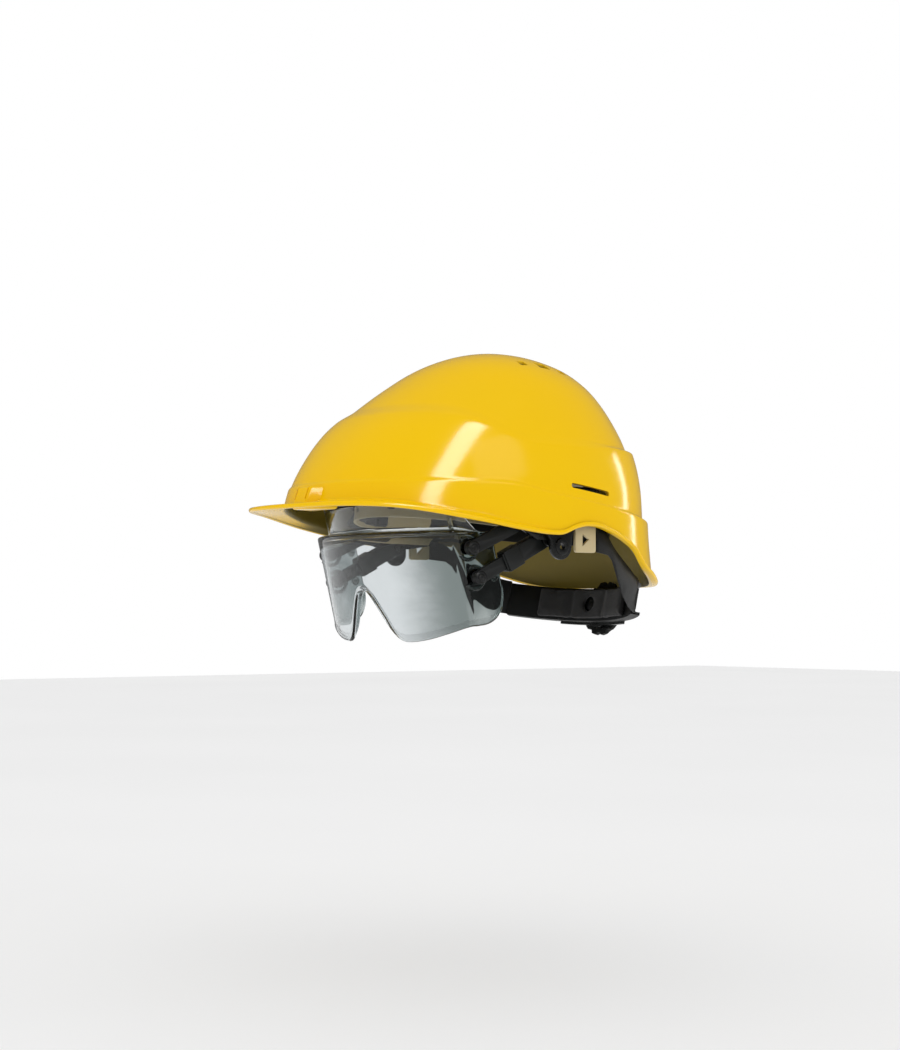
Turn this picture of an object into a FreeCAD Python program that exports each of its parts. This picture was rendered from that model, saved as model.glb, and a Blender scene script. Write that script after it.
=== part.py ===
import FreeCAD, Part
import math
import os

# Safety helmet with a retractable visor, in millimetres.
# Frame: +Z up, the wearer faces -Y, the wearer's left is +X.
# Origin: the middle of the head opening, level with the lower edge of the brow band.

# ---- driving dimensions -------------------------------------------------------------------
HALF_WIDTH = 102.0        # half of the shell's width at the brow
CROWN_HEIGHT = 124.0      # top of the shell above the origin
WALL = 2.6                # moulded wall of the shell
FRONT_SQUARENESS = 2.3    # superellipse exponent of the front half of a section
REAR_SQUARENESS = 2.05    # the same for the rear half
PEAK_TIP = -147.5         # front edge of the peak
RIM_HALF_WIDTH = 106.5    # half of the width over the rim
RIM_THICK = 3.0           # thickness of the peak and the rim
BLOCK_HALF = 11.0         # the small block low on the front of the crown
BLOCK_FRONT = -122.5
BLOCK_LOW = 9.0
BLOCK_TOP = 25.0
VENT_X = 45.0             # vents stand this far each side of the middle
VENTS = ((26.0, 2.6, 2.8), (43.0, 4.2, 3.2), (59.5, 2.6, 2.8))   # Y, half length, half width
SKIRT_CLEAR = -39.6       # below this height nothing of the shell is left

HEAD_HALF_WIDTH = 74.0    # inside of the head band
HEAD_HALF_LENGTH = 94.0
HEAD_CENTRE_Y = 27.0
BAND_THICK = 1.8          # moulded head band
BAND_TOP = 22.0           # upper edge of the head ring, before it leans back
PITCH = 7.4               # degrees, the harness leans back with the shell

ARM_PIVOT = (12.0, -8.0)          # Y, Z of the lower arms' pivot on the chassis
GUIDE_PIN = (2.9, 6.0)            # Y, Z of the pin in the upper arms' slots
LOWER_LENS_PIN = (-42.0, -35.0)   # Y, Z of the lower arms' pivot on the lens
UPPER_LENS_PIN = (-47.5, -16.0)   # Y, Z of the upper arms' pivot on the lens
LENS_HALF = 81.0          # outer half-width of the lens
LENS_WALL = 2.0
LENS_FRONT = -84.0        # Y of the lens at its middle, at its top edge
LENS_CORNER = -58.0       # Y where the front face meets the side panels
LENS_LEAN = 0.25          # the lens runs back by this much for each mm down
LENS_TOP = -5.0           # Z of the ledge over the eyes
PIN_RADIUS = 2.5
RUNNING = 0.08            # clearance of a turning fit, on the radius
ARM_IN = 83.4             # X of the arms' inner faces
ARM_THICK = 3.6
ROD_HALF = 4.4            # half-width of the sliding rod of a lower arm
STEP_AT = 37.0            # distance from the lens pin to the step in an upper arm
FOOT_IN = 78.0            # the slotted foot lies inside the plane of the lower arms
FOOT_OUT = 80.9
GUIDE_RADIUS = 2.0
SLOT_HALF = 3.7           # half-width of the slot over the guide pin
SLEEVE_START = 22.0       # distance from the lens pin to the mouth of the sleeve
SLEEVE_WALL = 1.2
SLEEVE_GAP = 0.25
CHASSIS_IN = 90.6         # X of the inner face of the chassis plate
CHASSIS_OUT = 93.2
CLIP_STUD = (39.0, 0.0)   # Y, Z of the clip's stud
STUD_RADIUS = 1.9
EYE_RADIUS = 2.2          # hole for the chin strap's hook
HEAD_HOLE_HALF = 3.0      # half-width of a buttonhole in the brow band

NAPE_RADIUS = 120.0       # outside of the nape band
NAPE_CENTRE_Y = 12.0
NAPE_TILT = 13.0          # degrees, the nape band falls towards the rear
NAPE_MIDDLE_Z = -24.5     # Z of the nape band's middle plane above its centre of curvature
NAPE_HEIGHT = 24.0
RACK_HEIGHT = 15.0
NAPE_HALF_ANGLE = 36.0    # degrees, from the rear middle to an end of the nape band
KNOB_RADIUS = 20.0
KNOB_TIP_RADIUS = 14.4    # the knob tapers, so that it turns clear of the shell's rear edge
KNOB_FACE = NAPE_RADIUS + 8.2          # inner face of the knob, from the nape's axis
KNOB_GRIP = 2.8                        # straight length of the knob's grip
KNOB_TAPER = 4.7                       # length of its tapered part
PINION_RADIUS = 4.4
INNER_RACK_OUT = NAPE_RADIUS + 1.7     # outside of the left rack
OUTER_RACK_OUT = NAPE_RADIUS + 3.6     # outside of the right rack
RACK_THICK = 1.4
BEARING = 3.0             # radius of the knob's shaft

Vec = FreeCAD.Vector
X_AXIS = Vec(1, 0, 0)
Y_AXIS = Vec(0, 1, 0)
Z_AXIS = Vec(0, 0, 1)
SIDES = (("left", 1.0), ("right", -1.0))


# ---- small tools --------------------------------------------------------------------------
def box(low, high):
    size = [high[i] - low[i] for i in range(3)]
    return Part.makeBox(size[0], size[1], size[2], Vec(*low))


def fuse(shapes):
    whole = shapes[0].fuse(list(shapes[1:])) if len(shapes) > 1 else shapes[0]
    return whole.removeSplitter()


def mirror_x(shape):
    return shape.mirror(Vec(0, 0, 0), X_AXIS)


def on_side(shape, sign):
    return shape if sign > 0 else mirror_x(shape)


def loop(points, closed=True):
    corners = [Vec(*p) for p in points]
    if closed:
        corners.append(corners[0])
    return Part.makePolygon(corners)


def slab_x(points_yz, x_low, x_high):
    """A flat outline in the Y-Z plane, made solid from x_low to x_high."""
    wire = loop([(x_low, y, z) for y, z in points_yz])
    return Part.Face(wire).extrude(Vec(x_high - x_low, 0, 0))


def curved_slab_x(line_yz, back_yz, x_low, x_high):
    """As slab_x, with a smooth curve through line_yz, closed by the straight corners back_yz."""
    curve = Part.BSplineCurve()
    curve.interpolate([Vec(x_low, y, z) for y, z in line_yz])
    corners = [line_yz[-1]] + list(back_yz) + [line_yz[0]]
    closing = Part.makePolygon([Vec(x_low, y, z) for y, z in corners])
    wire = Part.Wire([curve.toShape()] + closing.Edges)
    return Part.Face(wire).extrude(Vec(x_high - x_low, 0, 0))


def rod_x(y, z, radius, x_low, x_high):
    return Part.makeCylinder(radius, x_high - x_low, Vec(x_low, y, z), X_AXIS)


def link_x(start, end, half, x_low, x_high):
    """A flat bar with round ends between two (Y, Z) points."""
    dy = end[0] - start[0]
    dz = end[1] - start[1]
    length = math.hypot(dy, dz)
    ny = -dz / length * half
    nz = dy / length * half
    bar = slab_x([(start[0] + ny, start[1] + nz), (end[0] + ny, end[1] + nz),
                  (end[0] - ny, end[1] - nz), (start[0] - ny, start[1] - nz)], x_low, x_high)
    ends = [rod_x(p[0], p[1], half, x_low, x_high) for p in (start, end)]
    return fuse([bar] + ends)


def along(start, end, distance):
    length = math.hypot(end[0] - start[0], end[1] - start[1])
    return tuple(start[i] + (end[i] - start[i]) * distance / length for i in range(2))


def oval(half_width, front, rear, centre_y, squareness_front, squareness_rear, z, count=32):
    """A closed smooth section of the shell at height z, from its extents."""
    points = []
    for i in range(count):
        turn = 2.0 * math.pi * i / count
        cx = math.cos(turn)
        sy = math.sin(turn)
        power = squareness_rear if sy >= 0 else squareness_front
        reach = rear - centre_y if sy >= 0 else centre_y - front
        r = (abs(cx / half_width) ** power + abs(sy / reach) ** power) ** (-1.0 / power)
        points.append(Vec(r * cx, centre_y + r * sy, z))
    curve = Part.BSplineCurve()
    curve.interpolate(points, True)
    return curve.toShape()


def ellipse_wall(half_x, half_y, centre_y, thick, z_low, z_high):
    """An upright elliptical wall whose outside has the given half axes."""
    solids = []
    for inset in (0.0, thick):
        major = max(half_x, half_y) - inset
        minor = min(half_x, half_y) - inset
        edge = Part.Ellipse(Vec(0, 0, 0), major, minor).toShape()
        edge.rotate(Vec(0, 0, 0), Z_AXIS, 90)
        edge.translate(Vec(0, centre_y, z_low))
        solids.append(Part.Face(Part.Wire([edge])).extrude(Vec(0, 0, z_high - z_low)))
    return solids[0].cut(solids[1])


def pitched(shape):
    """Lean a harness piece back with the head, about the origin."""
    shape.rotate(Vec(0, 0, 0), X_AXIS, -PITCH)
    return shape


def save(name, shape):
    solids = shape.Solids
    whole = solids[0] if len(solids) == 1 else Part.makeCompound(solids)
    whole.exportStep("parts/" + name + ".step")
    print(name, len(solids), "solids", round(shape.Volume / 1000.0, 2), "cm3")


# ---- shell --------------------------------------------------------------------------------
# Level sections of the shell's outside. Each row: Z, Y of the widest line, front Y, rear Y, half-width.
SHELL_SECTIONS = (
    (-60.0, 14.0, -116.0, 152.0, HALF_WIDTH - 1.0),
    (-38.0, 14.0, -116.0, 150.0, HALF_WIDTH - 0.5),
    (-10.0, 14.0, -115.5, 146.5, HALF_WIDTH),
    (10.0, 14.0, -115.0, 143.0, HALF_WIDTH),
    (30.0, 16.0, -109.0, 141.5, HALF_WIDTH - 1.0),
    (50.0, 17.0, -100.0, 136.5, HALF_WIDTH - 5.0),
    (65.0, 18.0, -90.5, 129.5, HALF_WIDTH - 12.0),
    (78.0, 22.0, -76.0, 122.0, HALF_WIDTH - 20.0),
    (90.0, 26.0, -59.0, 113.5, HALF_WIDTH - 30.0),
    (101.0, 29.0, -40.0, 103.0, HALF_WIDTH - 41.0),
    (111.0, 31.0, -21.0, 88.0, HALF_WIDTH - 54.0),
    (118.0, 32.0, -3.0, 69.0, HALF_WIDTH - 68.0),
    (122.5, 32.0, 15.0, 50.0, HALF_WIDTH - 86.0),
    (CROWN_HEIGHT, 32.0, 28.0, 36.0, 4.0),
)
# The lower edge seen from the side, front to rear: Y, Z.
RIM_LINE = ((-160.0, 11.2), (-147.0, 11.0), (-128.0, 9.7), (-118.0, 9.3), (-103.0, 8.4),
            (-83.0, 5.6), (-66.0, 2.7), (-47.0, -0.3), (-28.0, -3.4),
            (-6.0, -6.2), (6.0, -6.9), (13.0, -6.6), (19.0, -4.2), (27.0, -1.6), (37.0, -0.4),
            (49.0, -1.4), (60.0, -4.3), (75.0, -9.3), (88.0, -15.5), (100.0, -26.0), (112.0, -31.0),
            (126.0, -36.0), (142.0, -38.5), (170.0, -38.5))


def dome(inset):
    """The outside of the shell, or its inside when inset is the wall."""
    wires = []
    for z, centre, front, rear, half in SHELL_SECTIONS:
        shrink = inset
        lift = 0.0
        if z > 60.0:
            lift = inset * min(1.0, (z - 60.0) / 45.0)
            shrink = inset * (1.0 - 0.45 * (z - 60.0) / 64.0)
        half_in = max(half - shrink, 2.0)
        front_in = min(front + shrink, centre - 2.0)
        rear_in = max(rear - shrink, centre + 2.0)
        fade = min(1.0, max(0.0, (z - 60.0) / 40.0))
        front_power = FRONT_SQUARENESS + (2.0 - FRONT_SQUARENESS) * fade
        edge = oval(half_in, front_in, rear_in, centre, front_power, REAR_SQUARENESS, z - lift)
        wires.append(Part.Wire([edge]))
    return Part.makeLoft(wires, True, False)


def rim_plan(grow):
    edge = oval(RIM_HALF_WIDTH + grow, PEAK_TIP - grow, 153.0 + grow, 5.0, 2.15, 2.0, -60.0)
    return Part.Face(Part.Wire([edge])).extrude(Vec(0, 0, 120.0))


def peak(inner_dome):
    """The thin peak and side rim, a curved sheet in the plan of the rim. Its underside is trimmed later."""
    line = [(y, z) for y, z in RIM_LINE if y < 8.0]
    low = [(y, z - 1.0) for y, z in line]
    high = [(y, z + RIM_THICK) for y, z in reversed(line)]
    under = Part.BSplineCurve()
    under.interpolate([Vec(-130.0, y, z) for y, z in low])
    over = Part.BSplineCurve()
    over.interpolate([Vec(-130.0, y, z) for y, z in high])
    front = Part.LineSegment(Vec(-130.0, *high[-1]), Vec(-130.0, *low[0])).toShape()
    back = Part.LineSegment(Vec(-130.0, *low[-1]), Vec(-130.0, *high[0])).toShape()
    wire = Part.Wire([under.toShape(), back, over.toShape(), front])
    sheet = Part.Face(wire).extrude(Vec(260.0, 0, 0))
    return sheet.common(rim_plan(0.0)).cut(inner_dome)


def shell_slots():
    """Vents in the crown and the accessory slot in each side."""
    cuts = []
    for sign in (1.0, -1.0):
        for y, half_y, half_x in VENTS:
            x = sign * VENT_X
            cuts.append(box((x - half_x, y - half_y, 90.0), (x + half_x, y + half_y, 130.0)))
        slot = link_x((24.0, 26.2), (58.0, 22.3), 1.6, 85.0, 115.0)
        cuts.append(on_side(slot, sign))
    return cuts


def make_shell():
    inner = dome(WALL)
    wall = dome(0.0).cut(inner)
    keep = curved_slab_x(RIM_LINE, ((170.0, 140.0), (-160.0, 140.0)), -130.0, 130.0)
    block = box((-BLOCK_HALF, BLOCK_FRONT, BLOCK_LOW), (BLOCK_HALF, -100.0, BLOCK_TOP))
    block = block.makeFillet(2.5, [e for e in block.Edges if abs(e.BoundBox.YMin - BLOCK_FRONT) < 0.01])
    block = block.cut(dome(1.0))
    whole = wall.fuse([peak(inner), block]).common(keep)
    block_slot = box((-BLOCK_HALF - 2.0, -117.6, 15.5), (BLOCK_HALF + 2.0, -116.2, 23.0))
    return whole.cut(shell_slots() + [block_slot]), inner


# ---- visor lens ---------------------------------------------------------------------------
def lens_plan(half, front, corner, rear, radius, z):
    """Open outline of the lens in plan: side, rounded corner, bowed front, corner, side."""
    bow = Part.Arc(Vec(-half, corner, z), Vec(0, front, z), Vec(half, corner, z)).toShape()
    ends = [(Vec(side * half, corner, z), Vec(side * half, rear, z)) for side in (-1.0, 1.0)]
    sides = [Part.LineSegment(start, end).toShape() for start, end in ends]
    back = Part.LineSegment(Vec(-half, rear, z), Vec(half, rear, z)).toShape()
    wire = Part.Wire([bow, sides[1], back, sides[0]])
    face = Part.Face(wire)
    solid = face.extrude(Vec(0, 0, 1))
    upright = [e for e in solid.Edges if abs(e.BoundBox.ZLength - 1.0) < 0.01]
    upright = [e for e in upright if e.BoundBox.YMax < corner + 0.01]
    solid = solid.makeFillet(radius, upright)
    flat = [f for f in solid.Faces if abs(f.BoundBox.ZMin - z) < 0.01 and f.BoundBox.ZLength < 0.01]
    return flat[0]


def lens_wall(inset, z_top, z_low, setback=0.0, narrow=0.0):
    """A solid block in the plan of the lens that leans back as it goes down."""
    shift = LENS_LEAN * (LENS_TOP - z_top)
    front = LENS_FRONT + inset + setback
    corner = LENS_CORNER + inset * 0.8 + setback
    face = lens_plan(LENS_HALF - inset - narrow, front, corner, -8.0, 7.0 - inset, z_top)
    face.translate(Vec(0, shift, 0))
    drop = z_low - z_top
    return face.extrude(Vec(0, -LENS_LEAN * drop, drop))


def lens_outline():
    """What is kept of the lens seen from the front: two lobes and the nose notch between them."""
    half = ((0.0, -42.5), (6.5, -45.5), (15.5, -57.0), (25.7, -71.6), (35.0, -76.5), (50.0, -75.0),
            (88.0, -64.0))
    line = [(-x, z) for x, z in reversed(half[1:])] + list(half)
    curve = Part.BSplineCurve()
    curve.interpolate([Vec(x, -110.0, z) for x, z in line])
    corners = [Vec(x, -110.0, z) for x, z in ((88.0, -64.0), (88.0, 40.0), (-88.0, 40.0), (-88.0, -64.0))]
    wire = Part.Wire([curve.toShape()] + Part.makePolygon(corners).Edges)
    return Part.Face(wire).extrude(Vec(0, 110.0, 0))


def lens_side_profile():
    """What is kept seen from the side: the side panel's rounded rear end."""
    outline = ((-110.0, 40.0), (-30.0, 40.0), (-30.0, -5.0), (-26.0, -10.0), (-20.0, -40.0),
               (-21.0, -50.0), (-28.0, -60.0), (-42.0, -66.0), (-60.0, -90.0), (-110.0, -90.0))
    return slab_x(outline, -90.0, 90.0)


def make_lens():
    outer = lens_wall(0.0, LENS_TOP, -80.0)
    inner = lens_wall(LENS_WALL, LENS_TOP + 0.001, -80.0)
    face = outer.cut(inner)
    set_in = 9.0
    ledge = lens_wall(0.0, LENS_TOP, LENS_TOP - LENS_WALL)
    ledge = ledge.cut(lens_wall(0.0, LENS_TOP + 0.5, LENS_TOP - 3.0, set_in + 1.0, 4.0))
    upper_out = lens_wall(0.0, 15.0, LENS_TOP - 1.0, set_in, 4.0)
    upper_in = lens_wall(LENS_WALL, 15.1, LENS_TOP - 3.0, set_in, 4.0)
    upper = upper_out.cut(upper_in).common(box((-90.0, -100.0, -20.0), (90.0, -46.0, 40.0)))
    whole = face.fuse([ledge, upper]).common(lens_outline()).common(lens_side_profile())
    holes = [rod_x(p[0], p[1], PIN_RADIUS, -95.0, 95.0) for p in (LOWER_LENS_PIN, UPPER_LENS_PIN)]
    return whole.cut(holes)


def lens_pins():
    """Four headed pins through the lens's side panels, for the arms to turn on."""
    pins = []
    lens_inside = LENS_HALF - LENS_WALL
    arm_outside = ARM_IN + ARM_THICK
    for sign in (1.0, -1.0):
        for y, z in (LOWER_LENS_PIN, UPPER_LENS_PIN):
            shaft = rod_x(y, z, PIN_RADIUS - 0.005, lens_inside - 1.2, arm_outside + 0.3)
            inner_head = rod_x(y, z, 4.2, lens_inside - 1.2, lens_inside)
            cap = rod_x(y, z, 4.4, arm_outside + 0.2, arm_outside + 1.6)
            pins.append(on_side(fuse([shaft, inner_head, cap]), sign))
    return Part.makeCompound(pins)


# ---- arms ---------------------------------------------------------------------------------
def turning_eye(shape, point, x_low, x_high):
    return shape.cut(rod_x(point[0], point[1], PIN_RADIUS + RUNNING, x_low - 5.0, x_high + 5.0))


def upper_arm():
    """A bar with an eye on the lens pin and, stepped inwards, a slotted foot over the guide pin."""
    x_high = ARM_IN + ARM_THICK
    reach = math.hypot(GUIDE_PIN[0] - UPPER_LENS_PIN[0], GUIDE_PIN[1] - UPPER_LENS_PIN[1])
    step = along(UPPER_LENS_PIN, GUIDE_PIN, STEP_AT)
    bar = link_x(UPPER_LENS_PIN, step, 4.6, ARM_IN, x_high)
    riser = link_x(along(UPPER_LENS_PIN, GUIDE_PIN, STEP_AT - 2.0), step, 4.6, FOOT_IN, ARM_IN + 0.5)
    foot = link_x(step, along(UPPER_LENS_PIN, GUIDE_PIN, reach + 1.0), 5.6, FOOT_IN, FOOT_OUT)
    arm = turning_eye(fuse([bar, riser, foot]), UPPER_LENS_PIN, ARM_IN, x_high)
    slot_start = along(UPPER_LENS_PIN, GUIDE_PIN, reach - 8.6)
    slot_end = along(UPPER_LENS_PIN, GUIDE_PIN, reach + 0.6)
    slot = link_x(slot_start, slot_end, SLOT_HALF, FOOT_IN - 1.0, FOOT_OUT + 0.2)
    return arm.cut(slot)


def front_rod():
    """The sliding front half of a lower arm."""
    x_high = ARM_IN + ARM_THICK
    rod = link_x(LOWER_LENS_PIN, along(LOWER_LENS_PIN, ARM_PIVOT, 44.0), ROD_HALF, ARM_IN, x_high)
    return turning_eye(rod, LOWER_LENS_PIN, ARM_IN, x_high)


def rear_arm():
    """The rear half of a lower arm: a sleeve over the rod, and the eye on the chassis."""
    x_low = ARM_IN - SLEEVE_WALL - SLEEVE_GAP
    x_high = ARM_IN + ARM_THICK + SLEEVE_WALL + SLEEVE_GAP
    half = ROD_HALF + SLEEVE_GAP + SLEEVE_WALL
    length = math.hypot(ARM_PIVOT[0] - LOWER_LENS_PIN[0], ARM_PIVOT[1] - LOWER_LENS_PIN[1])
    body = link_x(along(LOWER_LENS_PIN, ARM_PIVOT, SLEEVE_START), ARM_PIVOT, half, x_low, x_high)
    start = along(LOWER_LENS_PIN, ARM_PIVOT, SLEEVE_START - half - 1.0)
    mouth_end = along(LOWER_LENS_PIN, ARM_PIVOT, SLEEVE_START)
    body = body.cut(square_bar(start, mouth_end, half + 1.0, x_low - 1.0, x_high + 1.0))
    pocket_end = along(LOWER_LENS_PIN, ARM_PIVOT, length - 6.5)
    pocket = square_bar(start, pocket_end, ROD_HALF + SLEEVE_GAP, ARM_IN - SLEEVE_GAP,
                        ARM_IN + ARM_THICK + SLEEVE_GAP)
    body = body.cut(pocket)
    return turning_eye(body, ARM_PIVOT, x_low, x_high)


def square_bar(start, end, half, x_low, x_high):
    dy = end[0] - start[0]
    dz = end[1] - start[1]
    length = math.hypot(dy, dz)
    ny = -dz / length * half
    nz = dy / length * half
    return slab_x([(start[0] + ny, start[1] + nz), (end[0] + ny, end[1] + nz),
                   (end[0] - ny, end[1] - nz), (start[0] - ny, start[1] - nz)], x_low, x_high)


def length_lock():
    """A block round the sleeve's mouth, with a press tab, that holds the chosen length."""
    x_low = ARM_IN - SLEEVE_WALL - SLEEVE_GAP
    x_high = ARM_IN + ARM_THICK + SLEEVE_WALL + SLEEVE_GAP
    half = ROD_HALF + SLEEVE_GAP + SLEEVE_WALL
    start = along(LOWER_LENS_PIN, ARM_PIVOT, SLEEVE_START + 1.0)
    end = along(LOWER_LENS_PIN, ARM_PIVOT, SLEEVE_START + 14.0)
    block = square_bar(start, end, half + 1.0, x_low - 0.6, x_high + 1.0)
    return block.cut(square_bar(along(start, end, -2.0), along(start, end, 16.0), half, x_low, x_high))


# ---- chassis ------------------------------------------------------------------------------
def chassis_plate():
    """The side plate under the shell that carries the visor's pins and the harness."""
    outline = ((-26.0, 8.0), (-20.0, 1.0), (0.0, -9.5), (28.0, -10.0), (50.0, -6.0), (53.5, 0.0),
               (53.5, 26.0), (-10.0, 26.0))
    plate = slab_x(outline, CHASSIS_IN, CHASSIS_OUT)
    arm_face = ARM_IN + ARM_THICK + SLEEVE_WALL + SLEEVE_GAP + 0.3
    lower_boss = rod_x(ARM_PIVOT[0], ARM_PIVOT[1], 5.5, arm_face, CHASSIS_IN + 0.5)
    upper_boss = rod_x(GUIDE_PIN[0], GUIDE_PIN[1], 4.6, arm_face, CHASSIS_IN + 0.5)
    window = box((CHASSIS_IN - 1.0, 26.0, 6.0), (CHASSIS_OUT + 1.0, 48.0, 18.0))
    holes = [rod_x(ARM_PIVOT[0], ARM_PIVOT[1], PIN_RADIUS, ARM_IN, CHASSIS_OUT + 1.0)]
    holes.append(rod_x(GUIDE_PIN[0], GUIDE_PIN[1], GUIDE_RADIUS, ARM_IN, CHASSIS_OUT + 1.0))
    holes.append(rod_x(CLIP_STUD[0], CLIP_STUD[1], STUD_RADIUS, CHASSIS_IN - 1.0, CHASSIS_OUT + 1.0))
    return fuse([plate, lower_boss, upper_boss]).cut([window] + holes)


def chassis_pins():
    """The pins on which the visor's arms turn and slide."""
    pins = []
    sleeve_face = ARM_IN - SLEEVE_WALL - SLEEVE_GAP
    for sign in (1.0, -1.0):
        rows = ((ARM_PIVOT, sleeve_face, PIN_RADIUS), (GUIDE_PIN, FOOT_IN, GUIDE_RADIUS))
        for point, inner, radius in rows:
            shaft = rod_x(point[0], point[1], radius, inner - 0.4, CHASSIS_OUT)
            head = rod_x(point[0], point[1], 4.4, inner - 1.5, inner - 0.3)
            pins.append(on_side(fuse([shaft, head]), sign))
    return Part.makeCompound(pins)


def anchor_tab():
    """A rounded lug for the chin strap, which hangs below the shell's edge."""
    outline = link_x((18.0, -13.5), (18.0, -2.0), 9.0, 93.4, 96.0)
    shoulder_line = ((4.0, 6.0), (4.0, -3.0), (9.6, -10.0), (26.4, -10.0), (29.8, -2.0), (29.8, 6.0))
    shoulder = slab_x(shoulder_line, 93.4, 96.0)
    boss = rod_x(18.0, -14.0, 5.5, 95.5, 97.6)
    return fuse([outline, shoulder, boss]).cut(rod_x(18.0, -14.0, EYE_RADIUS, 90.0, 100.0))


def harness_clip():
    """The clip behind the anchor, with its triangular eye."""
    plate = box((93.4, 30.5, -17.5), (95.6, 48.0, 2.0))
    edges = [e for e in plate.Edges if abs(e.BoundBox.ZMax + 17.5) < 0.01 and e.BoundBox.XLength > 1.0]
    plate = plate.makeFillet(2.0, edges)
    stud = rod_x(CLIP_STUD[0], CLIP_STUD[1], STUD_RADIUS, CHASSIS_IN, 93.6)
    eye = slab_x(((36.6, -5.0), (36.6, -13.5), (42.5, -8.5)), 90.0, 100.0)
    return fuse([plate, stud]).cut(eye)


# ---- head band and cradle -----------------------------------------------------------------
def half_space_y(limit):
    return box((-200.0, -300.0, -200.0), (200.0, limit, 200.0))


def head_ring(inset, thick, z_low, z_high):
    """An upright wall that follows the head; inset is measured from the ring's outside."""
    half_x = HEAD_HALF_WIDTH + BAND_THICK - inset
    half_y = HEAD_HALF_LENGTH + BAND_THICK - inset
    return ellipse_wall(half_x, half_y, HEAD_CENTRE_Y, thick, z_low, z_high)


def brow_band():
    """The stiff front half of the head band, with its row of buttonholes."""
    band = head_ring(0.0, BAND_THICK, -2.0, BAND_TOP).common(half_space_y(34.0))
    holes = []
    for degrees in (-60.0, -36.0, -12.0, 12.0, 36.0, 60.0):
        hole = box((-HEAD_HOLE_HALF, -HEAD_HALF_LENGTH - 12.0, 3.0), (HEAD_HOLE_HALF, -60.0, 8.0))
        hole.rotate(Vec(0, 0, 0), Z_AXIS, degrees)
        hole.translate(Vec(0, HEAD_CENTRE_Y, 0))
        holes.append(hole)
    return pitched(band.cut(holes))


def rear_hoop():
    """The rear half of the head ring, which the cradle's rear feet stand on."""
    hoop = head_ring(0.0, BAND_THICK, 8.0, BAND_TOP)
    return pitched(hoop.common(box((-200.0, 34.3, -50.0), (200.0, 200.0, 50.0))))


def sweat_band():
    """The padded band between the brow band and the forehead."""
    gap = 0.3
    pad = head_ring(BAND_THICK + gap, 4.5, 0.0, BAND_TOP - 0.5)
    return pitched(pad.common(half_space_y(-10.0)))


def band_link():
    """The arm that joins the brow band's end to the chassis plate."""
    band_outside = HEAD_HALF_WIDTH + BAND_THICK
    plate = box((band_outside + 0.2, 29.0, 7.0), (CHASSIS_IN, 39.0, 14.0))
    foot = box((band_outside - 1.2, 20.0, 4.0), (band_outside + 2.2, 48.0, 16.0))
    return fuse([plate, foot]).cut(pitched(head_ring(0.0, 20.0, -40.0, 70.0)))


def cradle_arch(turn, half_width, top):
    """One webbing strap of the cradle: a thin arch over the head, turned about +Z."""
    thick = 1.2
    base_z = BAND_TOP
    reach = 1.0 / math.hypot(math.cos(math.radians(turn)) / (HEAD_HALF_WIDTH + 1.5),
                             math.sin(math.radians(turn)) / (HEAD_HALF_LENGTH + 1.5))
    rise = top - base_z
    solids = []
    for inset in (0.0, thick):
        major = max(reach, rise) - inset
        minor = min(reach, rise) - inset
        edge = Part.Ellipse(Vec(0, 0, 0), major, minor).toShape()
        if rise > reach:
            edge.rotate(Vec(0, 0, 0), Z_AXIS, 90)
        edge.rotate(Vec(0, 0, 0), X_AXIS, 90)
        edge.translate(Vec(0, half_width, 0))
        solids.append(Part.Face(Part.Wire([edge])).extrude(Vec(0, -2.0 * half_width, 0)))
    arch = solids[0].cut(solids[1]).common(box((-150.0, -50.0, 0.0), (150.0, 50.0, 150.0)))
    arch.rotate(Vec(0, 0, 0), Z_AXIS, turn)
    arch.translate(Vec(0, HEAD_CENTRE_Y, base_z))
    return pitched(arch)


# ---- nape assembly ------------------------------------------------------------------------
def nape_wall(outside, thick, half_angle, z_low, z_high, start_angle=None):
    """A piece of an upright cylinder wall behind the head; angles from the rear, towards +X."""
    low = -half_angle if start_angle is None else start_angle
    sweep = half_angle - low
    ring = Part.makeCylinder(outside, z_high - z_low, Vec(0, 0, z_low), Z_AXIS, sweep)
    core = Part.makeCylinder(outside - thick, z_high - z_low, Vec(0, 0, z_low), Z_AXIS, 360.0)
    ring = ring.cut(core)
    ring.rotate(Vec(0, 0, 0), Z_AXIS, 90.0 - half_angle)
    return ring


def napewards(shape):
    """From the nape's own upright frame to its place, fallen towards the rear."""
    shape.rotate(Vec(0, 0, 0), X_AXIS, -NAPE_TILT)
    shape.translate(Vec(0, NAPE_CENTRE_Y, NAPE_MIDDLE_Z))
    return shape


HALF = NAPE_HEIGHT / 2.0
RACK_HALF = RACK_HEIGHT / 2.0


def nape_band(shell_space):
    """The wide band at the nape, with a bearing hole for the knob's shaft."""
    band = nape_wall(NAPE_RADIUS, 2.0, NAPE_HALF_ANGLE, -HALF, HALF)
    levels = ((HALF - 2.0, HALF), (-HALF, 2.0 - HALF))
    rails = [nape_wall(NAPE_RADIUS + 4.2, 4.4, NAPE_HALF_ANGLE, low, high) for low, high in levels]
    bearing = Part.makeCylinder(BEARING + RUNNING, 20.0, Vec(0, NAPE_RADIUS - 10.0, 0), Y_AXIS)
    band = napewards(fuse([band] + rails).cut(bearing))
    beside_shell = box((-200.0, 0.0, SKIRT_CLEAR), (200.0, 200.0, 50.0)).cut(shell_space)
    return band.cut(beside_shell)


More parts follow.
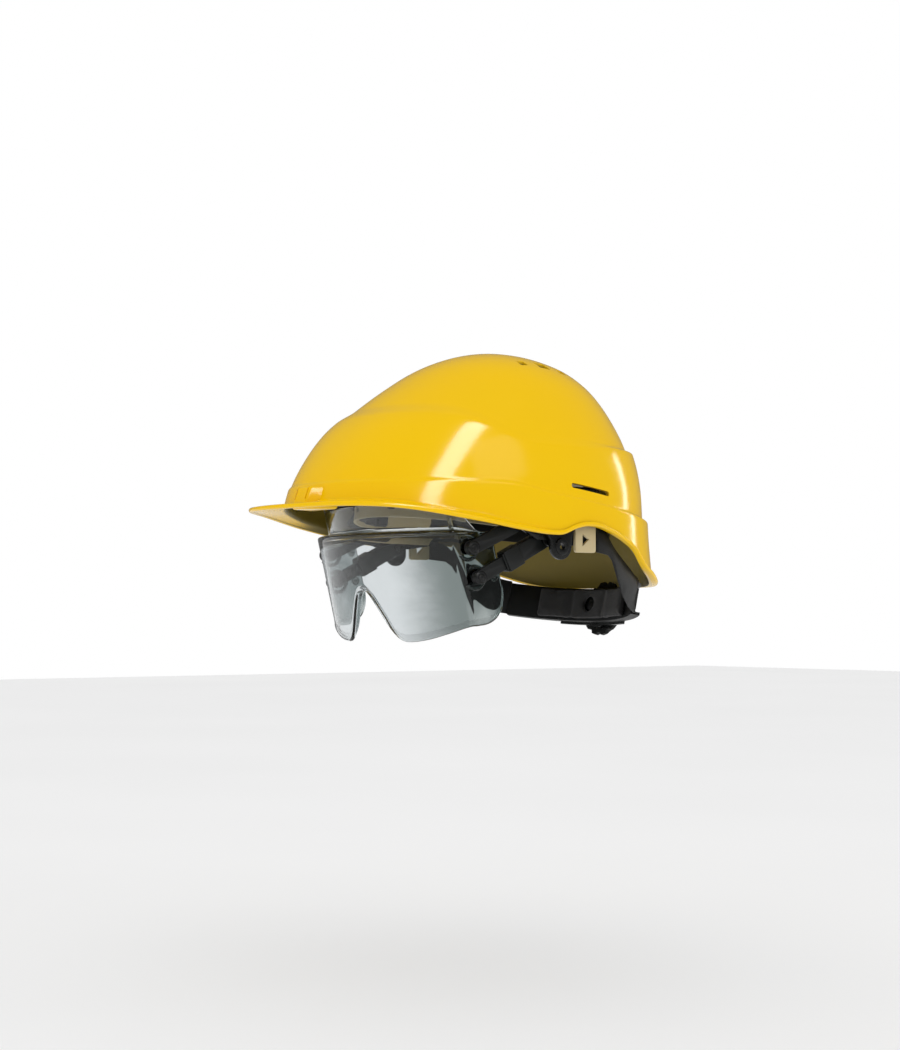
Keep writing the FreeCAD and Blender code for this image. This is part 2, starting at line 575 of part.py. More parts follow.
def rack(outside, toothed_side, start_angle, end_angle):
    """A thin toothed strap. Its long window has teeth on one edge for the pinion."""
    strap = nape_wall(outside, RACK_THICK, end_angle, -RACK_HALF, RACK_HALF, start_angle)
    window_low = -PINION_RADIUS - 0.6
    window_high = PINION_RADIUS + 0.6
    window = nape_wall(outside + 2.0, RACK_THICK + 4.0, 13.0, window_low, window_high, -13.0)
    strap = strap.cut(window)
    teeth = []
    for i in range(-9, 10):
        angle = i * 1.3
        tooth_low = PINION_RADIUS + 0.25 if toothed_side > 0 else -PINION_RADIUS - 0.7
        tooth = nape_wall(outside, RACK_THICK, angle + 0.35, tooth_low, tooth_low + 0.45, angle - 0.35)
        teeth.append(tooth)
    return napewards(fuse([strap] + teeth))


def knob_shaft():
    """The pinion and its shaft, one moulding."""
    shaft = Part.makeCylinder(BEARING, 14.2, Vec(0, NAPE_RADIUS - 3.6, 0), Y_AXIS)
    collar = Part.makeCylinder(4.2, 1.2, Vec(0, NAPE_RADIUS - 3.6, 0), Y_AXIS)
    pinion = Part.makeCylinder(PINION_RADIUS - 0.8, 3.9, Vec(0, NAPE_RADIUS + 0.1, 0), Y_AXIS)
    teeth = []
    for i in range(8):
        tooth = box((-0.6, NAPE_RADIUS + 0.1, 2.0), (0.6, NAPE_RADIUS + 4.0, PINION_RADIUS))
        tooth.rotate(Vec(0, 0, 0), Y_AXIS, i * 45.0)
        teeth.append(tooth)
    return napewards(fuse([shaft, collar, pinion] + teeth))


def nape_housing():
    """The cover over the racks, with the bearing of the knob."""
    front = NAPE_RADIUS + 4.5
    plate = Part.makeCylinder(front + 1.8, NAPE_HEIGHT + 3.0, Vec(0, 0, -HALF - 1.5), Z_AXIS, 32.0)
    plate = plate.cut(Part.makeCylinder(front, NAPE_HEIGHT + 8.0, Vec(0, 0, -HALF - 4.0), Z_AXIS))
    plate.rotate(Vec(0, 0, 0), Z_AXIS, 74.0)
    seat = Part.makeCylinder(15.0, 3.4, Vec(0, front, 0), Y_AXIS)
    bore = Part.makeCylinder(BEARING + RUNNING, 40.0, Vec(0, 100.0, 0), Y_AXIS)
    inside = Part.makeCylinder(front, 60.0, Vec(0, 0, -30.0), Z_AXIS)
    return napewards(fuse([plate, seat]).cut(inside).cut(bore))


def ratchet_knob():
    """A round tapered grip with a scalloped rim."""
    grip = Part.makeCylinder(KNOB_RADIUS, KNOB_GRIP, Vec(0, KNOB_FACE, 0), Y_AXIS)
    taper_start = Vec(0, KNOB_FACE + KNOB_GRIP, 0)
    taper = Part.makeCone(KNOB_RADIUS, KNOB_TIP_RADIUS, KNOB_TAPER, taper_start, Y_AXIS)
    scallops = []
    for i in range(12):
        angle = math.radians(i * 30.0)
        reach = KNOB_RADIUS + 1.6
        centre = Vec(reach * math.cos(angle), KNOB_FACE - 1.0, reach * math.sin(angle))
        scallops.append(Part.makeCylinder(3.4, 12.0, centre, Y_AXIS))
    under = Part.makeCylinder(KNOB_RADIUS - 5.0, 4.5, Vec(0, KNOB_FACE - 0.5, 0), Y_AXIS)
    hub = Part.makeCylinder(5.5, 6.0, Vec(0, KNOB_FACE, 0), Y_AXIS)
    bore = Part.makeCylinder(BEARING, 3.8, Vec(0, KNOB_FACE - 1.0, 0), Y_AXIS)
    body = fuse([grip, taper]).cut(scallops).cut(under.cut(hub)).cut(bore)
    return napewards(body)


def detent_ring():
    """The spring pawl ring between the knob and its seat."""
    ring = Part.makeCylinder(13.0, 1.2, Vec(0, KNOB_FACE - 0.3, 0), Y_AXIS)
    ring = ring.cut(Part.makeCylinder(8.0, 4.0, Vec(0, KNOB_FACE - 1.0, 0), Y_AXIS))
    return napewards(ring)


def nape_pad():
    """The soft pad inside the nape band."""
    gap = 0.4
    pad = nape_wall(NAPE_RADIUS - 2.0 - gap, 4.0, 24.0, -HALF + 1.0, HALF - 1.0)
    pad = pad.cut(Part.makeCylinder(5.2, 20.0, Vec(0, NAPE_RADIUS - 12.0, 0), Y_AXIS))
    return napewards(pad)


def nape_arm():
    """The side arm that follows the shell's arch from the chassis down to the end of the nape band."""
    line = ((52.0, 3.0), (60.0, -4.0), (70.0, -14.0), (82.0, -22.0), (95.0, -29.0), (114.0, -34.0))
    low = ((114.0, -59.0), (100.0, -56.5), (90.0, -53.0), (81.0, -45.0), (75.0, -36.0), (67.0, -22.0),
           (62.0, -18.5), (49.0, -17.0), (49.0, 3.0))
    profile = curved_slab_x(line, low, 50.0, 99.0)
    wall = ellipse_wall(99.2, 125.0, 20.0, 2.0, -80.0, 20.0)
    arm = wall.common(profile)
    boss = Part.makeCylinder(6.5, 3.6, Vec(75.6, 96.0, -46.0), Vec(0.66, 0.75, 0))
    beside_plate = box((80.0, 40.0, -40.0), (CHASSIS_OUT + 0.1, 54.0, 40.0))
    nape_space = nape_wall(NAPE_RADIUS + 8.0, 12.0, NAPE_HALF_ANGLE + 0.1, -HALF - 8.0, HALF + 12.0)
    return arm.fuse(boss).removeSplitter().cut(beside_plate).cut(napewards(nape_space))


# ---- write every node ---------------------------------------------------------------------
def main():
    os.makedirs("parts", exist_ok=True)
    shell, inner = make_shell()
    shell_space = dome(WALL + 0.5)
    save("shell", shell)
    save("visor_lens", make_lens())
    save("lens_pivot_pins", lens_pins())
    save("chassis_pivot_pins", chassis_pins())
    for side, sign in SIDES:
        save("upper_arm_" + side, on_side(upper_arm(), sign))
        save("lower_arm_rod_" + side, on_side(front_rod(), sign))
        save("lower_arm_sleeve_" + side, on_side(rear_arm(), sign))
        save("length_lock_" + side, on_side(length_lock(), sign))
        save("chassis_plate_" + side, on_side(chassis_plate().common(shell_space), sign))
        save("chin_strap_anchor_" + side, on_side(anchor_tab(), sign))
        save("harness_clip_" + side, on_side(harness_clip(), sign))
        save("band_link_" + side, on_side(band_link(), sign))
        save("nape_arm_" + side, on_side(nape_arm().common(shell_space), sign))
    save("brow_band", brow_band())
    save("rear_hoop", rear_hoop())
    save("sweat_band", sweat_band())
    save("nape_band", nape_band(shell_space))
    save("nape_rack_left", rack(INNER_RACK_OUT, 1.0, -18.0, 33.0))
    save("nape_rack_right", rack(OUTER_RACK_OUT, -1.0, -33.0, 18.0))
    save("knob_shaft", knob_shaft())
    save("nape_housing", nape_housing())
    save("ratchet_knob", ratchet_knob())
    save("detent_ring", detent_ring())
    save("nape_pad", nape_pad())
    for number, (turn, top) in enumerate(((90.0, 80.0), (28.0, 77.6), (152.0, 75.2)), start=1):
        save("cradle_strap_" + str(number), cradle_arch(turn, 9.0, top))


main()
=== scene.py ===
"""Safety helmet with a retractable visor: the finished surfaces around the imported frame.

Units are metres. The wearer faces -Y and the wearer's left is +X, as in the frame.
Sizes in this file that are easier to read in millimetres are multiplied by MM.
"""
import math

import bpy
import bmesh
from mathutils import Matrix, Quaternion, Vector


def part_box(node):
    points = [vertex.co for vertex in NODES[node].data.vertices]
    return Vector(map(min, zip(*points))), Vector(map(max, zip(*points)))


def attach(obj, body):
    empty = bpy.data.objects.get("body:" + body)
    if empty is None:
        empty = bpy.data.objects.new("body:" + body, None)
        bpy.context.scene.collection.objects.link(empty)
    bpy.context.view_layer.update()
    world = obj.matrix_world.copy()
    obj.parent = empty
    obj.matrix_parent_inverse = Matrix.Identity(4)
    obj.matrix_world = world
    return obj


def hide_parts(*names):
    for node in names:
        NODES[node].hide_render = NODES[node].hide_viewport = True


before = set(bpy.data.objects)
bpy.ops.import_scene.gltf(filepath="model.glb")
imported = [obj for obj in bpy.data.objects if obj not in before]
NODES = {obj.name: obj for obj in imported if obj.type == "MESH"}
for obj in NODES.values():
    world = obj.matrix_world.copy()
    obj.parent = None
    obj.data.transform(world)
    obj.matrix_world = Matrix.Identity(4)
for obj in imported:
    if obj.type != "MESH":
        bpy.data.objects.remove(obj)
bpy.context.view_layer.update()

MM = 0.001
SIDES = (("left", 1.0), ("right", -1.0))


# ---- shader arithmetic --------------------------------------------------------------------
class Value:
    """A number socket that can be used in sums: each operation adds a Math node."""

    def __init__(self, graph, socket):
        self.graph = graph
        self.socket = socket

    def _math(self, operation, first, second):
        made = self.graph.node("ShaderNodeMath", {"operation": operation}, {0: first, 1: second})
        return Value(self.graph, made.outputs[0])

    def __add__(self, other):
        return self._math("ADD", self, other)

    def __radd__(self, other):
        return self._math("ADD", other, self)

    def __sub__(self, other):
        return self._math("SUBTRACT", self, other)

    def __rsub__(self, other):
        return self._math("SUBTRACT", other, self)

    def __mul__(self, other):
        return self._math("MULTIPLY", self, other)

    def __rmul__(self, other):
        return self._math("MULTIPLY", other, self)

    def __pow__(self, other):
        return self._math("POWER", self, other)


class Graph:
    """One material and its nodes."""

    def __init__(self, name):
        self.material = bpy.data.materials.new(name)
        self.material.use_nodes = True
        self.tree = self.material.node_tree
        self.shader = self.tree.nodes["Principled BSDF"]

    def node(self, kind, settings=None, sockets=None):
        made = self.tree.nodes.new(kind)
        for key, value in (settings or {}).items():
            if key == "stops":
                self._set_stops(made.color_ramp, value)
            else:
                setattr(made, key, value)
        for key, value in (sockets or {}).items():
            self.feed(made.inputs[key], value)
        return made

    def _set_stops(self, ramp, stops):
        while len(ramp.elements) < len(stops):
            ramp.elements.new(0.5)
        for element, (place, colour) in zip(ramp.elements, stops):
            element.position = place
            element.color = colour

    def feed(self, socket, value):
        if isinstance(value, Value):
            self.tree.links.new(value.socket, socket)
        elif isinstance(value, bpy.types.NodeSocket):
            self.tree.links.new(value, socket)
        else:
            socket.default_value = value

    def coords(self, scale=(1.0, 1.0, 1.0), turn=(0.0, 0.0, 0.0)):
        place = self.node("ShaderNodeTexCoord").outputs["Object"]
        return self.node("ShaderNodeMapping", {}, {"Vector": place, "Scale": scale, "Rotation": turn}).outputs[0]

    def noise(self, scale, detail=2.0, rough=0.5, where=None):
        where = where or self.coords()
        made = self.node("ShaderNodeTexNoise", {}, {"Vector": where, "Scale": scale, "Detail": detail, "Roughness": rough})
        return Value(self, made.outputs["Fac"])

    def ramp(self, value, low, high):
        """0 below low, 1 above high, smooth between."""
        made = self.node("ShaderNodeMapRange", {"interpolation_type": "SMOOTHSTEP"},
                         {"Value": value, "From Min": low, "From Max": high})
        return Value(self, made.outputs["Result"])

    def mix(self, amount, first, second):
        made = self.node("ShaderNodeMix", {"data_type": "RGBA"}, {0: amount, 6: first, 7: second})
        return made.outputs[2]

    def bump(self, height, distance, strength=1.0, after=None):
        sockets = {"Height": height, "Distance": distance, "Strength": strength}
        if after is not None:
            sockets["Normal"] = after
        return self.node("ShaderNodeBump", {}, sockets).outputs[0]

    def surface(self, **values):
        for key, value in values.items():
            self.feed(self.shader.inputs[key.replace("_", " ")], value)
        return self.material


# ---- materials ----------------------------------------------------------------------------
def shell_plastic():
    g = Graph("shell_plastic")
    cloud = g.noise(9.0, 3.0)
    speck = g.ramp(g.noise(420.0, 2.0), 0.68, 0.80)
    colour = g.mix(cloud, (0.92, 0.555, 0.0, 1.0), (0.96, 0.59, 0.0, 1.0))
    colour = g.mix(speck * 0.12, colour, (0.62, 0.34, 0.0, 1.0))
    # Painted shade: this mask paints the inside of the shell dark olive, and its underside faintly darker. The same
    # mask also makes the inside rougher.
    hollow = Value(g, g.node("ShaderNodeAttribute", {"attribute_name": "hollow"}).outputs["Fac"])
    inside = g.mix(cloud, (0.17, 0.125, 0.012, 1.0), (0.21, 0.155, 0.018, 1.0))
    colour = g.mix(hollow, colour, inside)
    rub = g.ramp(g.noise(38.0, 6.0, 0.7), 0.52, 0.75)
    peel = g.noise(260.0, 1.0)
    scuff = g.noise(60.0, 5.0, 0.65, g.coords((1.0, 1.0, 9.0)))
    return g.surface(Base_Color=colour, Roughness=0.12 + rub * 0.06 + scuff * 0.04 + hollow * 0.25,
                     Specular_IOR_Level=0.28, Normal=g.bump(peel, 0.00005, 0.4))


def visor_plastic():
    g = Graph("visor_plastic")
    smear = g.noise(22.0, 4.0, 0.6, g.coords((1.0, 1.0, 2.5)))
    dust = g.ramp(g.noise(900.0, 1.0), 0.70, 0.82)
    wave = g.noise(14.0, 1.0)
    place = g.node("ShaderNodeSeparateXYZ", {}, {"Vector": g.coords()})
    across = Value(g, g.node("ShaderNodeMath", {"operation": "ABSOLUTE"}, {0: place.outputs["X"]}).outputs[0])
    side = g.ramp(across, 0.0785, 0.0800)
    upper = g.ramp(Value(g, place.outputs["Z"]), -0.006, -0.001)
    # The side panels are painted near black, with pale streaks of painted reflection.
    painted_reflection_streak = g.ramp(g.noise(26.0, 2.0, 0.5, g.coords((0.2, 1.6, 0.7))), 0.42, 0.62)
    # Painted shade: the front face is painted darker towards the +X side, and the smudge noise wobbles where the
    # darkening starts.
    near_side_painted_shade = g.ramp(Value(g, place.outputs["X"]) + smear * 0.02, 0.036, 0.084)
    face = g.mix(near_side_painted_shade, (0.66, 0.70, 0.715, 1.0), (0.19, 0.225, 0.22, 1.0))
    face = g.mix(upper, face, (0.80, 0.83, 0.82, 1.0))
    panel = g.mix(painted_reflection_streak, (0.10, 0.13, 0.125, 1.0), (0.50, 0.54, 0.53, 1.0))
    colour = g.mix(side, face, panel)
    return g.surface(Base_Color=colour, Roughness=0.012 + smear * 0.02 + dust * 0.05, Transmission_Weight=1.0,
                     IOR=1.40, Specular_IOR_Level=0.6, Normal=g.bump(wave, 0.0002, 0.25))


def moulded_black(name, shade, rough, grain, gloss):
    g = Graph(name)
    cloud = g.noise(30.0, 3.0)
    pits = g.noise(grain, 2.0, 0.6)
    wear = g.ramp(g.noise(75.0, 6.0, 0.7), 0.55, 0.72)
    dark = (shade, shade * 1.2, shade * 1.15, 1.0)
    pale = (shade * 1.8, shade * 2.1, shade * 2.0, 1.0)
    colour = g.mix(cloud * 0.5 + wear * 0.35, dark, pale)
    return g.surface(Base_Color=colour, Roughness=rough + wear * 0.10 + cloud * 0.05,
                     Specular_IOR_Level=gloss, Normal=g.bump(pits, 0.00012, 0.6))


def moulded_beige():
    g = Graph("moulded_beige")
    cloud = g.noise(26.0, 3.0)
    grain = g.noise(1100.0, 2.0)
    handled = g.ramp(g.noise(60.0, 5.0, 0.7), 0.50, 0.72)
    colour = g.mix(cloud, (0.50, 0.405, 0.215, 1.0), (0.60, 0.50, 0.285, 1.0))
    colour = g.mix(handled * 0.3, colour, (0.40, 0.32, 0.17, 1.0))
    return g.surface(Base_Color=colour, Roughness=0.42 + handled * 0.12, Subsurface_Weight=0.08,
                     Subsurface_Radius=(0.003, 0.002, 0.001), Normal=g.bump(grain, 0.00008, 0.5))


def weave(g, pitch, turn=0.0):
    """Crossing threads from two wave textures: the bands along X and along Z, returned as a pair."""
    where = g.coords(turn=(0.0, 0.0, turn))
    bands = []
    for direction in ("X", "Z"):
        made = g.node("ShaderNodeTexWave", {"wave_type": "BANDS", "bands_direction": direction, "wave_profile": "SIN"},
                      {"Vector": where, "Scale": math.pi / (10.0 * pitch), "Distortion": 0.4, "Detail Scale": 2.0})
        bands.append(Value(g, made.outputs["Fac"]))
    return bands


def webbing_cloth():
    g = Graph("webbing_cloth")
    warp, weft = weave(g, 0.0011)
    fuzz = g.noise(2600.0, 3.0)
    soil = g.noise(40.0, 4.0)
    thread = warp * 0.6 + weft * 0.4
    colour = g.mix(thread, (0.33, 0.28, 0.17, 1.0), (0.62, 0.55, 0.38, 1.0))
    colour = g.mix(soil * 0.3, colour, (0.42, 0.36, 0.24, 1.0))
    return g.surface(Base_Color=colour, Roughness=0.78 + fuzz * 0.12, Sheen_Weight=0.3, Sheen_Roughness=0.5,
                     Normal=g.bump(thread + fuzz * 0.25, 0.0004, 0.8))


def padded_cloth():
    g = Graph("padded_cloth")
    warp, weft = weave(g, 0.0008)
    fuzz = g.noise(3000.0, 3.0)
    wear = g.noise(55.0, 4.0)
    thread = warp * 0.5 + weft * 0.5
    colour = g.mix(thread, (0.005, 0.005, 0.005, 1.0), (0.016, 0.016, 0.017, 1.0))
    colour = g.mix(wear * 0.3, colour, (0.022, 0.021, 0.020, 1.0))
    return g.surface(Base_Color=colour, Roughness=0.85 + fuzz * 0.1, Sheen_Weight=0.15, Sheen_Roughness=0.4,
                     Normal=g.bump(thread + fuzz * 0.4, 0.0003, 0.8))


def floor_paint():
    g = Graph("floor_paint")
    cloud = g.noise(1.5, 3.0)
    colour = g.mix(cloud, (0.90, 0.90, 0.90, 1.0), (0.93, 0.93, 0.93, 1.0))
    return g.surface(Base_Color=colour, Roughness=0.75 + cloud * 0.1)


YELLOW = shell_plastic()
CLEAR = visor_plastic()
BLACK_ARM = moulded_black("arm_black", 0.005, 0.36, 1500.0, 0.35)
BLACK_GLOSS = moulded_black("chassis_black", 0.003, 0.24, 700.0, 0.35)
BLACK_SATIN = moulded_black("nape_black", 0.0022, 0.42, 1900.0, 0.2)
BEIGE = moulded_beige()
WEBBING = webbing_cloth()
PAD_CLOTH = padded_cloth()


# ---- modelling tools ----------------------------------------------------------------------
def pick(piece):
    bpy.ops.object.select_all(action="DESELECT")
    piece.select_set(True)
    bpy.context.view_layer.objects.active = piece


def modify(piece, kind, **settings):
    """Add one modifier and apply it."""
    pick(piece)
    made = piece.modifiers.new(kind.lower(), kind)
    for key, value in settings.items():
        setattr(made, key, value)
    bpy.ops.object.modifier_apply(modifier=made.name)


def edit(piece, work):
    """Run edit-mode operators on everything in a piece."""
    pick(piece)
    bpy.ops.object.mode_set(mode="EDIT")
    bpy.ops.mesh.select_all(action="SELECT")
    work()
    bpy.ops.object.mode_set(mode="OBJECT")


def close_seams():
    bpy.ops.mesh.remove_doubles(threshold=0.000002)
    bpy.ops.mesh.normals_make_consistent(inside=False)


def sheet_of(name, rows, columns, place):
    """A grid primitive whose vertices are laid out by place(row, column), then closed on itself."""
    bpy.ops.object.select_all(action="DESELECT")
    bpy.ops.mesh.primitive_grid_add(x_subdivisions=columns, y_subdivisions=rows, size=2.0)
    piece = bpy.context.active_object
    piece.name = name
    for vertex in piece.data.vertices:
        column = round((vertex.co.x + 1.0) / 2.0 * columns)
        row = round((vertex.co.y + 1.0) / 2.0 * rows)
        vertex.co = place(row, column)
    edit(piece, close_seams)
    return piece


def settle(piece, body, material, angle=35.0):
    """Shade, paint and mount a finished piece."""
    pick(piece)
    bpy.ops.object.transform_apply(location=True, rotation=True, scale=True)
    bpy.ops.object.shade_smooth_by_angle(angle=math.radians(angle))
    piece.data.materials.clear()
    piece.data.materials.append(material)
    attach(piece, body)
    return piece


def join(pieces):
    bpy.ops.object.select_all(action="DESELECT")
    for piece in pieces:
        piece.select_set(True)
    bpy.context.view_layer.objects.active = pieces[0]
    bpy.ops.object.join()
    return pieces[0]


def cut_away(piece, cutters):
    """Take solid cutters out of a piece."""
    for cutter in cutters:
        modify(piece, "BOOLEAN", operation="DIFFERENCE", object=cutter, solver="EXACT")
        bpy.data.objects.remove(cutter)


def block(name, low, high, bevel=0.0, segments=3):
    """A box between two corners, with rounded edges."""
    bpy.ops.object.select_all(action="DESELECT")
    bpy.ops.mesh.primitive_cube_add(size=1.0)
    piece = bpy.context.active_object
    piece.name = name
    for vertex in piece.data.vertices:
        vertex.co = [low[i] if vertex.co[i] < 0 else high[i] for i in range(3)]
    if bevel > 0.0:
        modify(piece, "BEVEL", width=bevel, segments=segments, limit_method="ANGLE")
    return piece


def softened(node, body, material, width=0.4 * MM, segments=3):
    """The frame's own shape with its hard edges rounded, standing for the plain node."""
    piece = NODES[node].copy()
    piece.data = NODES[node].data.copy()
    piece.name = "moulded_" + node
    bpy.context.collection.objects.link(piece)
    piece.parent = None

    def tidy():
        bpy.ops.mesh.remove_doubles(threshold=0.00001)
        bpy.ops.mesh.dissolve_limited(angle_limit=math.radians(1.0))

    edit(piece, tidy)
    modify(piece, "BEVEL", width=width, segments=segments, limit_method="ANGLE", angle_limit=math.radians(38.0),
           use_clamp_overlap=True, harden_normals=False)
    settle(piece, body, material)
    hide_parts(node)
    return piece


def smooth_step(low, high, x):
    t = min(1.0, max(0.0, (x - low) / (high - low)))
    return t * t * (3.0 - 2.0 * t)


def curve_through(points):
    """A smooth function through (x, value) points, straight beyond its ends."""
    xs = [p[0] for p in points]
    ys = [p[1] for p in points]
    last = len(points) - 1
    slopes = []
    for i in range(last + 1):
        a = max(i - 1, 0)
        b = min(i + 1, last)
        slopes.append((ys[b] - ys[a]) / (xs[b] - xs[a]))

    def value(x):
        if x <= xs[0]:
            return ys[0] + slopes[0] * (x - xs[0]) * 0.0
        if x >= xs[last]:
            return ys[last] + slopes[last] * (x - xs[last]) * 0.0
        i = next(k for k in range(last) if x <= xs[k + 1])
        h = xs[i + 1] - xs[i]
        t = (x - xs[i]) / h
        keep = 2 * t ** 3 - 3 * t ** 2 + 1
        lead = t ** 3 - 2 * t ** 2 + t
        tail = t ** 3 - t ** 2
        return keep * ys[i] + lead * h * slopes[i] + (1 - keep) * ys[i + 1] + tail * h * slopes[i + 1]

    return value


# ---- shell --------------------------------------------------------------------------------
SHELL_LOW, SHELL_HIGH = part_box("shell")
CROWN = SHELL_HIGH.z / MM                  # top of the shell, in mm
HALF_WIDTH = SHELL_HIGH.x / MM - 4.5       # half-width of the wall inside the rim
WALL = 2.6
PEAK_TIP = SHELL_LOW.y / MM + 2.0

# Each curve runs over the depth below the crown, as sqrt(1 - z / CROWN): 0 is the top.
HALF_AT = curve_through(((0.0, 0.0), (0.11, 16.5), (0.22, 33.5), (0.324, 48.5), (0.431, 61.5), (0.524, 71.5),
                         (0.609, 80.0), (0.69, 87.6), (0.773, 93.6), (0.871, 98.0), (0.959, 99.3), (1.0, 99.6),
                         (1.04, 99.8), (1.15, 99.5)))
FRONT_AT = curve_through(((0.0, 0.0), (0.11, 17.5), (0.22, 35.0), (0.324, 51.0), (0.431, 66.5), (0.524, 79.5),
                          (0.609, 90.0), (0.69, 99.5), (0.773, 109.5), (0.871, 120.5), (0.959, 125.5), (1.0, 126.8),
                          (1.15, 128.0)))
REAR_AT = curve_through(((0.0, 0.0), (0.11, 18.5), (0.22, 37.5), (0.324, 57.0), (0.431, 73.5), (0.524, 87.0),
                         (0.609, 99.0), (0.69, 109.5), (0.773, 115.0), (0.871, 119.5), (0.959, 122.5), (1.0, 123.5),
                         (1.04, 124.5), (1.15, 128.5)))
CENTRE_AT = curve_through(((0.0, 32.0), (0.22, 32.0), (0.431, 29.0), (0.524, 26.0), (0.609, 22.0), (0.69, 18.0),
                           (0.871, 16.0), (1.0, 14.0), (1.15, 14.0)))
RIM_HEIGHT = curve_through(((-160.0, 9.0), (-147.0, 9.0), (-138.0, 9.3), (-128.0, 9.5), (-118.0, 9.3), (-103.0, 8.4),
                            (-83.0, 5.6), (-66.0, 2.7), (-47.0, -0.3), (-28.0, -3.4), (-6.0, -6.2),
                            (6.0, -6.9), (13.0, -6.6), (19.0, -4.2), (27.0, -1.6), (37.0, -0.4),
                            (49.0, -1.4), (60.0, -4.3), (75.0, -9.3), (88.0, -15.5), (100.0, -26.0),
                            (112.0, -31.0), (126.0, -36.0), (142.0, -38.5), (170.0, -38.5)))
PANEL_LINE = curve_through(((-110.0, 77.0), (-80.0, 77.0), (-53.0, 74.0), (-33.0, 67.6), (-20.0, 61.5), (-6.0, 57.0),
                            (20.0, 55.5), (150.0, 55.0)))
BELT_LINE = curve_through(((-130.0, 28.0), (-90.0, 27.5), (-25.0, 26.5), (4.0, 21.0), (60.0, 13.5), (142.0, 3.0)))


def dome_point(angle, z, out):
    """A point on the shell's section at height z, moved out along its ray."""
    depth = math.sqrt(max(0.0, 1.0 - z / CROWN))
    side = math.cos(angle)
    fore = math.sin(angle)
    forward = fore < 0.0
    fade = smooth_step(60.0, 100.0, z)
    power = (2.3 - 0.3 * fade) if forward else 2.05
    half = max(HALF_AT(depth), 0.01)
    reach = max(FRONT_AT(depth) if forward else REAR_AT(depth), 0.01)
    r = (abs(side / half) ** power + abs(fore / reach) ** power) ** (-1.0 / power) + out
    return Vector((r * side, CENTRE_AT(depth) + r * fore, z))


def rim_reach(angle):
    """How far the rim stands from the axis of the lower wall, along a ray."""
    low, high = 60.0, 190.0
    for _ in range(30):
        mid = (low + high) / 2.0
        x = mid * math.cos(angle)
        y = 14.0 + mid * math.sin(angle) - 5.0
        size = 5.0 - PEAK_TIP
        inside = abs(x / (HALF_WIDTH + 4.0)) ** 2.15 + abs(y / size) ** 2.15 < 1.0
        low, high = (mid, high) if inside else (low, mid)
    return low


def steps(angle, z, panel, belt):
    """How proud the moulded panel and belt stand of the dome at a height."""
    fore = math.sin(angle)
    panel_rise = 1.3 + 1.8 * smooth_step(0.3, 0.9, -fore) + 3.4 * smooth_step(0.35, 0.95, fore)
    soft = 3.2 * (1.0 - smooth_step(0.2, 0.6, fore))
    belt_rise = 1.2 + 2.9 * smooth_step(0.4, 0.95, fore)
    panel_part = panel_rise * smooth_step(-1.0 - soft, 1.0 + soft, panel - z)
    belt_part = belt_rise * smooth_step(-1.4, 1.4, belt - z)
    return 2.0 + panel_part + belt_part - 1.6 * smooth_step(40.0, 90.0, z)


def bezier(a, b, c, d, t):
    return a * (1 - t) ** 3 + b * 3 * t * (1 - t) ** 2 + c * 3 * t * t * (1 - t) + d * t ** 3


def spread(start, end, count):
    return [start + (end - start) * i / count for i in range(count)]


